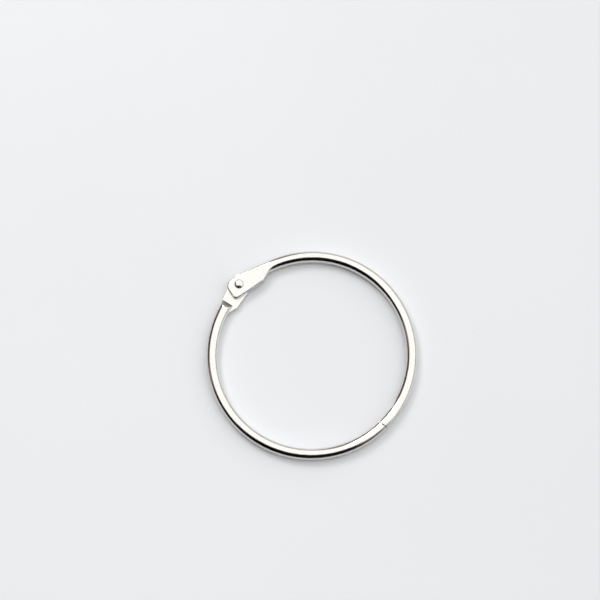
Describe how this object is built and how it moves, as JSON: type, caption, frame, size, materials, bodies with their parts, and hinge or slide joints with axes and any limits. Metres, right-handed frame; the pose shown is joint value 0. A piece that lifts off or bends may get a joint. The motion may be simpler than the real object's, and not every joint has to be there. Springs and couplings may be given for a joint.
{
  "type": "hinged binder ring",
  "caption": "Hinged loose-leaf binder ring: round nickel-plated wire halves, riveted flattened hinge leaves and a hooked half-lap clasp.",
  "frame": {"origin": "centre of the closed ring, on the middle plane of its wire", "axes": "+Z along the ring's axis, up as it lies flat with the domed rivet end uppermost; -X towards the hinge rivet, +X towards the clasp"},
  "size_m": [0.0404, 0.0392, 0.0024],
  "materials": {
    "nickel_plate": "bright polished nickel plate over steel wire, with fine draw marks across the bend",
    "rivet_metal": "bright nickel plate, slightly satin where the end is peened"
  },
  "bodies": {
    "lower_half": {"half_ring_lower": "nickel_plate", "hinge_rivet": "rivet_metal"},
    "upper_half": {"half_ring_upper": "nickel_plate"}
  },
  "joints": [
    {"name": "hinge", "type": "hinge", "parent": "lower_half", "child": "upper_half", "pos_m": [-0.019, 0, 0], "axis": [0, 0, 1], "range_deg": [0, 165]}
  ]
}
